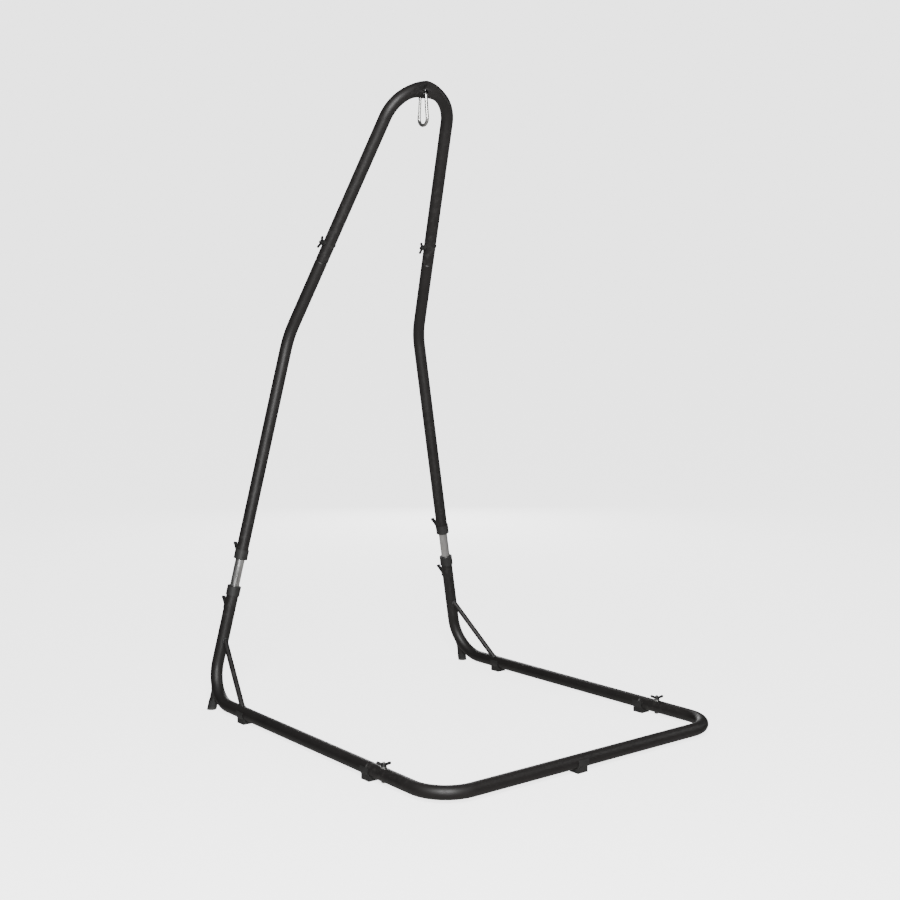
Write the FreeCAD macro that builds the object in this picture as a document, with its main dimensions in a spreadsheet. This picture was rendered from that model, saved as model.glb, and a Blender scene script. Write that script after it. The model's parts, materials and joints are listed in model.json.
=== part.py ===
import FreeCAD, Part

import math
import os

import Sketcher

# A hanging-chair stand of bent steel tube, in millimetres.
# X runs from the left leg to the right leg, Y to the rear, Z up.
# The origin is on the floor, below the middle of the stand.

DIMENSIONS = {
    # tube stock
    "tube_diameter": 42,
    "tube_wall": 1.5,
    "inner_tube_diameter": 32,
    "inner_tube_wall": 1.5,
    "inner_tube_length": 340,
    # swaged tube ends that slide into the next tube
    "spigot_diameter": 36,
    "spigot_length": 100,
    "swage_length": 5,
    "shoulder_gap": 0.5,
    # plan of the base, between the corners of the tube axes
    "axis_height": 32.8,
    "rear_half_width": 550.5,
    "front_half_width": 577.2,
    "base_depth": 1310,
    "rear_corner_y": 654.2,
    "rear_bend_radius": 123,
    "front_bend_radius": 117,
    "rail_joint": 983,
    # legs: how far each part leans per metre of height
    "leg_inward_lean": 217.9,
    "leg_forward_lean": 86.2,
    "top_inward_lean": 211.7,
    "top_forward_lean": 505.1,
    "leg_bend_height": 1245,
    "leg_bend_radius": 240,
    "lower_tube_end": 397,
    "upper_tube_end": 498,
    "leg_joint": 290,
    # top arch and its pressed flat middle
    "arch_radius": 130.6,
    "flat_reach": 32,
    "flat_half_height": 30.2,
    "flat_power": 1.3,
    "hanger_hole_diameter": 18,
    "hanger_hole_drop": 8,
    # fasteners
    "bolt_offset": 63,
    "bolt_diameter": 8,
    "bolt_hole_diameter": 8.6,
    "spigot_hole_diameter": 9.2,
    "bolt_head_diameter": 16,
    "bolt_head_height": 4.5,
    "bolt_crown_share": 0.6,
    "bolt_rim_share": 0.4,
    "bolt_chamfer": 1,
    "bolt_end": 38,
    "leg_bolt_end": 42,
    "washer_diameter": 19,
    "washer_bore": 8.4,
    "washer_top": 24.5,
    "leg_washer_top": 28.5,
    "washer_skirt": 3,
    "nut_bore": 8.12,
    "nut_base_diameter": 16,
    "nut_top_diameter": 13,
    "nut_height": 10,
    "nut_flange": 1.5,
    "base_nut_turn": -39,
    "wing_tip_radius": 4.4,
    "wing_reach": 17.5,
    "wing_rise": 10.2,
    "wing_thickness": 3,
    "wing_low_angle": -75,
    "wing_high_angle": 105,
    "wing_root_inset": 0.6,
    # braces, stub feet and saddles
    "brace_diameter": 18,
    "brace_foot": 235,
    "brace_head": 224,
    "stub_diameter": 30,
    "stub_wall": 1.5,
    "stub_offset": 25,
    "stub_start": 55,
    "stub_clearance": 9.4,
    "cap_wall": 1.2,
    "cap_depth": 22,
    "cap_sole": 18,
    "saddle_length": 40,
    "saddle_wall": 3,
    "saddle_bore_gap": 0.05,
    "saddle_foot_width": 36,
    "saddle_wrap": 22,
    "rear_saddle": 240,
    "joint_saddle": 975,
    "front_saddle_x": -44,
    # collars on the ends of the telescoping tubes
    "collar_diameter": 47.6,
    "collar_length": 34,
    "collar_lip": 3,
    "collar_gap": 0.1,
    "collar_chamfer": 1,
    "notch_gap": 0.5,
    "bushing_bore": 33.4,
    # clamp levers
    "lever_pivot": 26,
    "lever_width": 10,
    "lever_hub_radius": 6,
    "lever_neck_radius": 3.3,
    "lever_knob_radius": 5,
    "lever_rise": 22,
    "lever_reach": 27,
    "cam_radius": 6.4,
    "cam_reach": 9.4,
    "pin_diameter": 5,
    "pin_hole_diameter": 5.1,
    "pin_length": 17,
    "bracket_wall": 2.6,
    "bracket_gap": 0.4,
    "bracket_length": 24,
    "bracket_top": 30,
    "bracket_web": 3,
    "window_length": 22,
    "lower_pivot_drop": 72,
    "upper_pivot_rise": 20,
    # snap hook
    "hook_wire": 11,
    "hook_top_radius": 15,
    "hook_bottom_radius": 22,
    "hook_centres": 72,
    "hook_tilt": 26.8,
    "gate_diameter": 9,
    "gate_start": 12,
    "gate_end": 60,
    "gate_top_gap": 2.5,
    "gate_nose_gap": 0.5,
    "gate_tongue": 4.4,
    "gate_slot": 5.2,
    "gate_slot_back": 3.75,
    "gate_pin_diameter": 3,
    "gate_pin_place": 6,
}

doc = FreeCAD.newDocument("hammock_stand")
sheet = doc.addObject("Spreadsheet::Sheet", "sizes")


def add_cell(row, alias, number):
    """One driving dimension: its name in column A, its value in column B."""
    sheet.set(f"A{row}", alias)
    sheet.set(f"B{row}", f"{number:.6g}")
    sheet.setAlias(f"B{row}", alias)


for place, (alias, number) in enumerate(DIMENSIONS.items()):
    add_cell(place + 1, alias, number)
doc.recompute()


def size(expression):
    """The value of an expression of sheet aliases."""
    return float(sheet.evalExpression(expression))


def bound(expression):
    """The same expression, as other objects refer to the sheet."""
    words = set(alias for alias in list(DIMENSIONS) + list(DERIVED) if alias in expression)
    for word in sorted(words, key=len, reverse=True):
        expression = replace_word(expression, word)
    return expression


def replace_word(expression, word):
    """Prefix one alias with the sheet's name wherever it stands alone."""
    pieces = expression.split(word)
    joined = pieces[0]
    for piece in pieces[1:]:
        alone = not joined[-1:].isalnum() and joined[-1:] not in ("_", ".")
        alone = alone and not piece[:1].isalnum() and piece[:1] != "_"
        joined += ("sizes." + word if alone else word) + piece
    return joined


# ---------------------------------------------------------------- geometry
Vector = FreeCAD.Vector
SIDES = {"left": -1, "right": 1}
UP = Vector(0, 0, 1)
REARWARD = Vector(0, 1, 0)


def unit(vector):
    return vector / vector.Length


def turn_between(before, after):
    """Angle in degrees that a tube turns between two directions."""
    return math.degrees(before.getAngle(after))


def placed(origin, x_axis, z_axis):
    """Placement with the given local X and Z directions."""
    x_axis = unit(x_axis)
    z_axis = unit(z_axis)
    rotation = FreeCAD.Rotation(x_axis, z_axis.cross(x_axis), z_axis, "ZXY")
    return FreeCAD.Placement(origin, rotation)


def square_to(direction, axis):
    """The part of a direction that is square to an axis, as a unit vector."""
    return unit(direction - axis * direction.dot(axis))


class Side:
    """Corners and directions of the tube axes on one side of the stand."""

    def __init__(self, name):
        self.name = name
        self.sign = SIDES[name]
        floor_to_axis = size("axis_height")
        rear_y = size("rear_corner_y")
        self.rear_corner = Vector(self.sign * size("rear_half_width"), rear_y, floor_to_axis)
        front_y = rear_y - size("base_depth")
        self.front_corner = Vector(self.sign * size("front_half_width"), front_y, floor_to_axis)
        self.rail = unit(self.front_corner - self.rear_corner)
        lower = Vector(-self.sign * size("leg_inward_lean"), -size("leg_forward_lean"), 1000)
        upper = Vector(-self.sign * size("top_inward_lean"), -size("top_forward_lean"), 1000)
        self.bend = self.rear_corner + lower * (size("leg_bend_height") / 1000)
        self.lower = unit(lower)
        self.upper = unit(upper)
        self.lower_back = square_to(REARWARD, self.lower)
        self.leg_bolt_way = square_to(Vector(-1, 0, 0), self.upper)

    def on_rail(self, distance):
        return self.rear_corner + self.rail * distance

    def on_lower(self, distance):
        return self.rear_corner + self.lower * distance

    def on_upper(self, distance):
        return self.bend + self.upper * distance


LEFT = Side("left")
RIGHT = Side("right")


def brace_foot(side):
    """Point on the side rail's axis that a brace starts from."""
    return side.on_rail(size("brace_foot"))


def brace_head(side):
    """Point on the leg's axis that a brace ends at."""
    return side.on_lower(size("brace_head"))


def stub_top(side):
    """Upper end of a stub foot's axis, inside the rear bend."""
    return side.on_lower(size("stub_start")) - side.lower_back * size("stub_offset")


# Turns and lengths of the tubes, which follow from the leans and the plan of the base.
DERIVED = {
    "rear_bend_turn": turn_between(-RIGHT.rail, RIGHT.lower),
    "leg_bend_turn": turn_between(-RIGHT.upper, -RIGHT.lower),
    "front_bend_turn": turn_between(RIGHT.rail, Vector(-1, 0, 0)),
    "lower_leg_length": (RIGHT.bend - RIGHT.rear_corner).Length,
    "rail_length": (RIGHT.front_corner - RIGHT.rear_corner).Length,
    "brace_length": (brace_head(RIGHT) - brace_foot(RIGHT)).Length,
    "stub_length": (stub_top(RIGHT).z - size("stub_clearance")) / RIGHT.lower.z,
    "hook_taper": math.degrees(math.asin(
        size("(hook_bottom_radius - hook_top_radius) / hook_centres"))),
}
for place, (alias, number) in enumerate(DERIVED.items()):
    add_cell(len(DIMENSIONS) + place + 2, alias, number)
doc.recompute()


# ---------------------------------------------------------------- building blocks
def new_body(name):
    return doc.addObject("PartDesign::Body", name)


def origin_plane(body, role):
    """One of a body's own origin planes, such as XY_Plane."""
    return next(item for item in body.Origin.OriginFeatures if item.Role == role)


def new_sketch(body, role, name):
    sketch = body.newObject("Sketcher::SketchObject", name)
    sketch.AttachmentSupport = (origin_plane(body, role), [""])
    sketch.MapMode = "FlatFace"
    return sketch


def dimension(sketch, kind, geometry, expression, name, *more):
    """Add a driving constraint and bind it to the sheet."""
    value = size(expression)
    if kind == "Angle":
        value = math.radians(value)
    index = sketch.addConstraint(Sketcher.Constraint(kind, *geometry, value, *more))
    sketch.renameConstraint(index, name)
    sketch.setExpression(f"Constraints.{name}", bound(expression))


def circle(sketch, expression, name, centre=(0, 0)):
    """A circle of bound radius about a point of the sketch."""
    middle = Vector(centre[0], centre[1], 0)
    index = sketch.addGeometry(Part.Circle(middle, Vector(0, 0, 1), size(expression)))
    dimension(sketch, "Radius", (index,), expression, name)
    if centre == (0, 0):
        sketch.addConstraint(Sketcher.Constraint("Coincident", index, 3, -1, 1))
    return index


def run_and_arc_path(sketch, runs, bends):
    """Straight runs joined by tangent arcs, from the origin along X towards +Y."""
    spot = Vector(0, 0, 0)
    heading = 0.0
    previous = None
    for place, run in enumerate(runs):
        way = Vector(math.cos(heading), math.sin(heading), 0)
        end = spot + way * size(run)
        line = sketch.addGeometry(Part.LineSegment(spot, end))
        dimension(sketch, "Distance", (line,), run, f"run_{place}")
        if previous is None:
            sketch.addConstraint(Sketcher.Constraint("Coincident", line, 1, -1, 1))
            sketch.addConstraint(Sketcher.Constraint("Horizontal", line))
        else:
            sketch.addConstraint(Sketcher.Constraint("Tangent", previous, 2, line, 1))
        if place == len(bends):
            break
        radius, turn = bends[place]
        bend_radius = size(radius)
        angle = math.radians(size(turn))
        centre = end + Vector(-math.sin(heading), math.cos(heading), 0) * bend_radius
        start_angle = heading - math.pi / 2
        ring = Part.Circle(centre, Vector(0, 0, 1), bend_radius)
        arc = sketch.addGeometry(Part.ArcOfCircle(ring, start_angle, start_angle + angle))
        sketch.addConstraint(Sketcher.Constraint("Tangent", line, 2, arc, 1))
        dimension(sketch, "Radius", (arc,), radius, f"bend_{place}")
        dimension(sketch, "Angle", (arc,), turn, f"turn_{place}")
        heading += angle
        spot = centre + Vector(math.sin(heading), -math.cos(heading), 0) * bend_radius
        previous = arc


def bent_bar(name, runs, bends, diameter, wall=None):
    """A round bar or tube swept along runs and bends in its own XY plane."""
    body = new_body(name)
    path = new_sketch(body, "XY_Plane", name + "_path")
    run_and_arc_path(path, runs, bends)
    profile = new_sketch(body, "YZ_Plane", name + "_section")
    circle(profile, f"({diameter}) / 2", "outer")
    if wall:
        circle(profile, f"({diameter}) / 2 - {wall}", "inner")
    pipe = body.newObject("PartDesign::AdditivePipe", name + "_sweep")
    pipe.Profile = profile
    pipe.Spine = path
    return body


def closed_outline(sketch, points):
    """Closed polygon from points whose coordinates are sheet expressions."""
    corners = [Vector(size(across), size(along), 0) for across, along in points]
    lines = []
    for place, corner in enumerate(corners):
        following = corners[(place + 1) % len(corners)]
        lines.append(sketch.addGeometry(Part.LineSegment(corner, following)))
    for place, line in enumerate(lines):
        following = lines[(place + 1) % len(lines)]
        sketch.addConstraint(Sketcher.Constraint("Coincident", line, 2, following, 1))
    for place, (across, along) in enumerate(points):
        pin_coordinate(sketch, lines[place], "X", across, f"across_{place}")
        pin_coordinate(sketch, lines[place], "Y", along, f"along_{place}")


def pin_coordinate(sketch, line, axis, expression, name):
    """Hold the start of a line at a bound distance from the sketch origin."""
    dimension(sketch, "Distance" + axis, (-1, 1, line, 1), expression, name)


def revolved(body, role, points, name, axis="H_Axis"):
    """Turn a closed outline once round an axis of its sketch."""
    sketch = new_sketch(body, role, name + "_outline")
    closed_outline(sketch, points)
    turn = body.newObject("PartDesign::Revolution", name)
    turn.Profile = sketch
    turn.ReferenceAxis = (sketch, [axis])
    turn.Angle = 360
    return turn


def add_spigot(body):
    """A swaged, smaller tube end that runs back from the start of the sweep."""
    tube = "tube_diameter / 2"
    spigot = "spigot_diameter / 2"
    points = [
        ("0", tube),
        ("-swage_length", spigot),
        ("-(swage_length + spigot_length)", spigot),
        ("-(swage_length + spigot_length)", f"{spigot} - tube_wall"),
        ("-swage_length", f"{spigot} - tube_wall"),
        ("0", f"{tube} - tube_wall"),
    ]
    revolved(body, "XY_Plane", points, body.Name + "_spigot")


def round_bar(name, diameter, length, placement):
    """A plain cylinder along its own Z axis."""
    bar = doc.addObject("Part::Cylinder", name)
    bar.setExpression("Radius", bound(f"({diameter}) / 2"))
    bar.setExpression("Height", bound(length))
    bar.Placement = placement
    return bar


def block(name, length, width, height, placement):
    """A box; its corner is at its own origin."""
    box = doc.addObject("Part::Box", name)
    box.setExpression("Length", bound(length))
    box.setExpression("Width", bound(width))
    box.setExpression("Height", bound(height))
    box.Placement = placement
    return box


def difference(label, base, tools):
    """Base with every tool cut away; this is a sub-part."""
    if len(tools) > 1:
        tool = doc.addObject("Part::MultiFuse", label + "_tools")
        tool.Shapes = tools
    else:
        tool = tools[0]
    cut = doc.addObject("Part::Cut", label)
    cut.Base = base
    cut.Tool = tool
    return cut


nodes = []


def keep(label, item):
    """Name an object as a sub-part of the stand."""
    item.Label = label
    nodes.append(item)
    return item


def moved(placement, along_x=0.0, along_y=0.0, along_z=0.0):
    """A placement shifted along its own axes."""
    return placement.multiply(FreeCAD.Placement(Vector(along_x, along_y, along_z),
                                                FreeCAD.Rotation()))


def turned(placement, expression):
    """A placement turned about its own Z axis by an angle of the sheet."""
    turn = FreeCAD.Rotation(Vector(0, 0, 1), size(expression))
    return placement.multiply(FreeCAD.Placement(Vector(0, 0, 0), turn))


def leg_frame(side, distance):
    """Local frame on the lower leg's axis: X to the rear, Z up along the leg."""
    return placed(side.on_lower(distance), side.lower_back, side.lower)


def bolt_frame(origin, outward):
    """Local frame of a cross bolt: Z runs out towards its wing nut."""
    return placed(origin, square_to(Vector(1, 0, 0), outward), outward)


def leg_bolt_frame(side):
    """Frame of the bolt at a leg's upper joint: X up the leg, Z out to the left."""
    return placed(side.on_upper(size("leg_joint + bolt_offset")), side.upper, side.leg_bolt_way)


# ---------------------------------------------------------------- tubes
def cross_hole(name, frame, diameter, length):
    """A cutter through both walls of a tube, centred on its axis."""
    return round_bar(name, diameter, length, moved(frame, along_z=-size(length) / 2))


def window(name, frame):
    """A cutter for the slot through which a clamp cam reaches the inner tube."""
    width = "lever_width + 2 * bracket_gap"
    corner = moved(frame, along_y=-size(width) / 2, along_z=-size("window_length") / 2)
    return block(name, "tube_diameter", width, "window_length", corner)


def base_rail(side):
    """Side rail, rear bend and leg stump of one side, with its spigot in front."""
    name = "base_rail_" + side.name
    tangent = "rear_bend_radius * tan(rear_bend_turn / 2)"
    runs = [f"rail_joint - swage_length - {tangent}", f"lower_tube_end - {tangent}"]
    body = bent_bar(name + "_tube", runs, [("rear_bend_radius", "rear_bend_turn")],
                    "tube_diameter", "tube_wall")
    add_spigot(body)
    start = side.on_rail(size("rail_joint - swage_length"))
    normal = (-side.rail).cross(side.lower)
    body.Placement = placed(start, -side.rail, normal)
    bolt = bolt_frame(side.on_rail(size("rail_joint + bolt_offset")), UP)
    pivot = leg_frame(side, size("lower_tube_end - lower_pivot_drop"))
    tools = [
        cross_hole(name + "_bolt_hole", bolt, "spigot_hole_diameter", "2 * tube_diameter"),
        window(name + "_window", pivot),
    ]
    keep(name, difference(name, body, tools))


def upper_leg(side):
    """Bent upper leg: a spigot at the top, an open end over the inner tube."""
    name = "upper_leg_" + side.name
    tangent = "leg_bend_radius * tan(leg_bend_turn / 2)"
    runs = [f"leg_joint - shoulder_gap - swage_length - {tangent}",
            f"lower_leg_length - upper_tube_end - {tangent}"]
    body = bent_bar(name + "_tube", runs, [("leg_bend_radius", "leg_bend_turn")],
                    "tube_diameter", "tube_wall")
    add_spigot(body)
    start = side.on_upper(size("leg_joint - shoulder_gap - swage_length"))
    normal = (-side.upper).cross(-side.lower)
    body.Placement = placed(start, -side.upper, normal)
    bolt = leg_bolt_frame(side)
    pivot = leg_frame(side, size("upper_tube_end + upper_pivot_rise"))
    tools = [
        cross_hole(name + "_bolt_hole", bolt, "spigot_hole_diameter", "2 * tube_diameter"),
        window(name + "_window", pivot),
    ]
    keep(name, difference(name, body, tools))


def front_bow():
    """U of tube that closes the base in front and takes both rail spigots."""
    name = "front_bow"
    tangent = "front_bend_radius * tan(front_bend_turn / 2)"
    side_run = f"rail_length - rail_joint - {tangent}"
    front_run = f"2 * front_half_width - 2 * {tangent}"
    bend = ("front_bend_radius", "front_bend_turn")
    body = bent_bar(name + "_tube", [side_run, front_run, side_run], [bend, bend],
                    "tube_diameter", "tube_wall")
    body.Placement = placed(LEFT.on_rail(size("rail_joint")), LEFT.rail, UP)
    tools = []
    for side in (LEFT, RIGHT):
        bolt = bolt_frame(side.on_rail(size("rail_joint + bolt_offset")), UP)
        tools.append(cross_hole(f"bow_hole_{side.name}", bolt, "bolt_hole_diameter",
                                "2 * tube_diameter"))
    keep(name, difference(name, body, tools))


def inner_tube(side):
    """Bright tube that slides in both parts of a leg."""
    name = "inner_tube_" + side.name
    body = new_body(name)
    points = [
        ("-inner_tube_length / 2", "inner_tube_diameter / 2"),
        ("inner_tube_length / 2", "inner_tube_diameter / 2"),
        ("inner_tube_length / 2", "inner_tube_diameter / 2 - inner_tube_wall"),
        ("-inner_tube_length / 2", "inner_tube_diameter / 2 - inner_tube_wall"),
    ]
    revolved(body, "XZ_Plane", points, name + "_turn")
    middle = size("(lower_tube_end + upper_tube_end) / 2")
    body.Placement = placed(side.on_lower(middle), side.lower, side.lower_back)
    keep(name, body)


# ---------------------------------------------------------------- top arch
OVAL_POINTS = 24
OVAL_SIDE_SLOPE = 3
PRESSED_STEPS = 6


def ring(centre, across, outward, radius):
    """Round section of the tube, started on the same side as an oval one."""
    wire = Part.Wire([Part.makeCircle(radius)])
    wire.Placement = placed(centre, across, across.cross(outward))
    return wire


def oval(centre, across, outward, half_height, inset):
    """Section of the pressed tube: a flattened round of constant girth."""
    radius = size("tube_diameter / 2")
    half_thickness = (2 * math.pi * radius - 4 * half_height) / (2 * math.pi - 4)
    straight = half_height - half_thickness
    cap = half_thickness - inset
    points = []
    for step in range(OVAL_POINTS):
        angle = 2 * math.pi * step / OVAL_POINTS
        lift = straight * max(-1.0, min(1.0, math.sin(angle) * OVAL_SIDE_SLOPE))
        high = lift + cap * math.sin(angle)
        points.append(centre + outward * high + across * (cap * math.cos(angle)))
    curve = Part.BSplineCurve()
    curve.interpolate(points, PeriodicFlag=True)
    return Part.Wire(curve.toShape())


class Arch:
    """Centre, plane and sections of the round top of the stand."""

    def __init__(self):
        self.radius = size("arch_radius")
        self.rise = unit(Vector(0, RIGHT.upper.y, RIGHT.upper.z))
        self.half_angle = RIGHT.upper.getAngle(self.rise)
        reach = RIGHT.bend.x / RIGHT.upper.x
        top = RIGHT.bend - RIGHT.upper * reach
        self.centre = top - self.rise * (self.radius / math.sin(self.half_angle))
        self.across = unit(Vector(1, 0, 0).cross(self.rise))
        self.apex = self.centre + self.rise * self.radius
        self.turn = math.pi / 2 - self.half_angle

    def outward(self, angle):
        return Vector(1, 0, 0) * math.sin(angle) + self.rise * math.cos(angle)

    def half_height(self, angle):
        round_half = size("tube_diameter / 2")
        share = 1 - abs(angle) / math.radians(size("flat_reach"))
        swell = size("flat_half_height") - round_half
        return round_half + swell * max(0.0, share) ** size("flat_power")

    def section(self, angle, inset):
        """Section of the arch's tube where its radius leans by an angle."""
        outward = self.outward(angle)
        centre = self.centre + outward * self.radius
        if abs(angle) >= math.radians(size("flat_reach")) * 0.999:
            return ring(centre, self.across, outward, size("tube_diameter / 2") - inset)
        return oval(centre, self.across, outward, self.half_height(angle), inset)

    def pressed(self, sign, inset):
        """Skin of one half of the pressed middle, moved in by an inset."""
        reach = math.radians(size("flat_reach"))
        angles = [sign * reach * step / PRESSED_STEPS for step in range(PRESSED_STEPS + 1)]
        wires = [self.section(angle, inset) for angle in angles]
        return Part.makeLoft(wires, False, False).Faces

    def rim(self, side, inset):
        """Circle at the open end of a sleeve."""
        outward = self.outward(side.sign * self.turn)
        radius = size("tube_diameter / 2") - inset
        return ring(side.on_upper(size("leg_joint")), self.across, outward, radius)

    def round_part(self, side, inset):
        """Skin of the straight sleeve and of the round part of the bend."""
        angles = [side.sign * self.turn, side.sign * math.radians(size("flat_reach"))]
        angles.insert(1, sum(angles) / 2)
        points = [self.centre + self.outward(angle) * self.radius for angle in angles]
        straight = Part.LineSegment(side.on_upper(size("leg_joint")), points[0]).toShape()
        spine = Part.Wire([straight, Part.Arc(*points).toShape()])
        return spine.makePipeShell([self.rim(side, inset)], False, False).Faces


ARCH = Arch()


def top_arch():
    """Top of the stand: two sleeves, a round bend and a pressed flat middle."""
    wall = size("tube_wall")
    outer = size("tube_diameter")
    faces = []
    for side in (LEFT, RIGHT):
        for inset in (0, wall):
            faces += ARCH.round_part(side, inset)
            faces += ARCH.pressed(side.sign, inset)
        rims = [ARCH.rim(side, inset) for inset in (0, wall)]
        faces.append(Part.Face(rims))
    skin = Part.Shell(faces)
    skin.sewShape(0.001)
    shape = Part.Solid(skin)
    shape.fix(0.001, 0.001, 0.001)
    hole = size("hanger_hole_diameter")
    eye = hanger_eye() - ARCH.across * outer
    shape = shape.cut(Part.makeCylinder(hole / 2, 2 * outer, eye, ARCH.across))
    for side in (LEFT, RIGHT):
        way = side.leg_bolt_way
        start = side.on_upper(size("leg_joint + bolt_offset")) - way * outer
        drill = Part.makeCylinder(size("bolt_hole_diameter / 2"), 2 * outer, start, way)
        shape = shape.cut(drill)
    feature = doc.addObject("Part::Feature", "top_arch")
    feature.Shape = shape
    keep("top_arch", feature)


def hanger_eye():
    """Centre of the hole that the snap hook hangs in."""
    return ARCH.apex - ARCH.rise * size("hanger_hole_drop")


# ---------------------------------------------------------------- braces and feet
def solid_rail(side):
    """The side tube without its bore, for fitting what is welded to it."""
    name = "solid_rail_" + side.name
    tangent = "rear_bend_radius * tan(rear_bend_turn / 2)"
    runs = [f"rail_joint - {tangent}", f"lower_tube_end - {tangent}"]
    body = bent_bar(name, runs, [("rear_bend_radius", "rear_bend_turn")], "tube_diameter")
    normal = (-side.rail).cross(side.lower)
    body.Placement = placed(side.on_rail(size("rail_joint")), -side.rail, normal)
    return body


def brace(side, rail):
    """Round bar welded from the leg to the top of the side rail."""
    foot = brace_foot(side)
    name = "brace_" + side.name
    bar = round_bar(name + "_bar", "brace_diameter", "brace_length",
                    placed(foot, side.rail, brace_head(side) - foot))
    keep(name, difference(name, bar, [rail]))


def rear_stub(side, rail):
    """Short tube welded under the rear bend, parallel to the leg."""
    frame = placed(stub_top(side), side.lower_back, -side.lower)
    name = "rear_stub_" + side.name
    bar = round_bar(name + "_bar", "stub_diameter", "stub_length", frame)
    bore = round_bar(name + "_bore", "stub_diameter - 2 * stub_wall", "stub_length", frame)
    keep(name, difference(name, bar, [bore, rail]))
    stub_cap(side, moved(frame, along_z=size("stub_length - cap_depth")))


def stub_cap(side, frame):
    """Rubber cup over the stub's end, cut level with the floor."""
    name = "stub_cap_" + side.name
    cup = round_bar(name + "_cup", "stub_diameter + 2 * cap_wall", "cap_depth + cap_sole", frame)
    bore = round_bar(name + "_bore", "stub_diameter", "cap_depth", frame)
    reach = size("2 * stub_diameter")
    corner = Vector(frame.Base.x - reach, frame.Base.y - reach, -2 * reach)
    ground = block(name + "_ground", "4 * stub_diameter", "4 * stub_diameter",
                   "4 * stub_diameter", FreeCAD.Placement(corner, FreeCAD.Rotation()))
    keep(name, difference(name, cup, [bore, ground]))


def saddle(label, origin, along):
    """Clip that grips the tube from below, with a flat foot on the floor."""
    body = new_body(label)
    sketch = new_sketch(body, "XY_Plane", label + "_outline")
    bore = size("tube_diameter / 2 + saddle_bore_gap")
    outer = size("tube_diameter / 2 + saddle_wall")
    half_foot = size("saddle_foot_width / 2")
    wrap = math.radians(size("saddle_wrap"))
    drop = -size("axis_height")
    neck = -math.acos(half_foot / outer)
    centre = Vector(0, 0, 0)
    inner_ring = Part.Circle(centre, Vector(0, 0, 1), bore)
    outer_ring = Part.Circle(centre, Vector(0, 0, 1), outer)

    def on_outer(angle):
        return Vector(outer * math.cos(angle), outer * math.sin(angle), 0)

    inner = sketch.addGeometry(Part.ArcOfCircle(inner_ring, math.pi - wrap, 2 * math.pi + wrap))
    right = sketch.addGeometry(Part.ArcOfCircle(outer_ring, neck, wrap))
    left = sketch.addGeometry(Part.ArcOfCircle(outer_ring, math.pi - wrap, math.pi - neck))
    tip_right = Vector(bore * math.cos(wrap), bore * math.sin(wrap), 0)
    tip_left = Vector(-tip_right.x, tip_right.y, 0)
    sole_right = Vector(half_foot, drop, 0)
    sole_left = Vector(-half_foot, drop, 0)
    corners = [
        (tip_right, on_outer(wrap)),
        (on_outer(neck), sole_right),
        (sole_right, sole_left),
        (sole_left, on_outer(math.pi - neck)),
        (on_outer(math.pi - wrap), tip_left),
    ]
    lines = [sketch.addGeometry(Part.LineSegment(start, end)) for start, end in corners]
    joints = [
        (inner, 2, lines[0], 1), (lines[0], 2, right, 2), (right, 1, lines[1], 1),
        (lines[1], 2, lines[2], 1), (lines[2], 2, lines[3], 1), (lines[3], 2, left, 2),
        (left, 1, lines[4], 1), (lines[4], 2, inner, 1),
    ]
    for joint in joints:
        sketch.addConstraint(Sketcher.Constraint("Coincident", *joint))
    sketch.addConstraint(Sketcher.Constraint("Coincident", inner, 3, -1, 1))
    sketch.addConstraint(Sketcher.Constraint("Coincident", right, 3, -1, 1))
    sketch.addConstraint(Sketcher.Constraint("Coincident", left, 3, -1, 1))
    sketch.addConstraint(Sketcher.Constraint("Vertical", lines[1]))
    sketch.addConstraint(Sketcher.Constraint("Vertical", lines[3]))
    dimension(sketch, "Radius", (inner,), "tube_diameter / 2 + saddle_bore_gap", "bore")
    dimension(sketch, "Radius", (right,), "tube_diameter / 2 + saddle_wall", "outer_right")
    dimension(sketch, "Radius", (left,), "tube_diameter / 2 + saddle_wall", "outer_left")
    dimension(sketch, "DistanceY", (lines[2], 1, -1, 1), "axis_height", "height_right")
    dimension(sketch, "DistanceY", (lines[2], 2, -1, 1), "axis_height", "height_left")
    dimension(sketch, "DistanceX", (-1, 1, lines[2], 1), "saddle_foot_width / 2", "foot_right")
    dimension(sketch, "DistanceX", (lines[2], 2, -1, 1), "saddle_foot_width / 2", "foot_left")
    rim = "(tube_diameter / 2 + saddle_bore_gap) * sin(saddle_wrap)"
    rim_outer = "(tube_diameter / 2 + saddle_wall) * sin(saddle_wrap)"
    dimension(sketch, "DistanceY", (-1, 1, lines[0], 1), rim, "rim_right")
    dimension(sketch, "DistanceY", (-1, 1, lines[4], 2), rim, "rim_left")
    dimension(sketch, "DistanceY", (-1, 1, lines[0], 2), rim_outer, "edge_right")
    dimension(sketch, "DistanceY", (-1, 1, lines[4], 1), rim_outer, "edge_left")
    pad = body.newObject("PartDesign::Pad", label + "_pad")
    pad.Profile = sketch
    pad.SideType = "Symmetric"
    pad.setExpression("Length", bound("saddle_length"))
    body.Placement = placed(origin, UP.cross(along), along)
    keep(label, body)


# ---------------------------------------------------------------- fasteners
def bolt(label, frame, end):
    """Domed bolt through the tube, head on the far side from its nut."""
    body = new_body(label)
    head = "bolt_head_diameter / 2"
    shank = "bolt_diameter / 2"
    points = [
        ("0", "-(tube_diameter / 2 + bolt_head_height)"),
        (f"{head} * bolt_crown_share", "-(tube_diameter / 2 + bolt_head_height)"),
        (head, "-(tube_diameter / 2 + bolt_head_height * bolt_rim_share)"),
        (head, "-tube_diameter / 2"),
        (shank, "-tube_diameter / 2"),
        (shank, f"{end} - bolt_chamfer"),
        (f"{shank} - bolt_chamfer", end),
        ("0", end),
    ]
    revolved(body, "XZ_Plane", points, label + "_turn", "V_Axis")
    body.Placement = frame
    keep(label, body)


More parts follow.
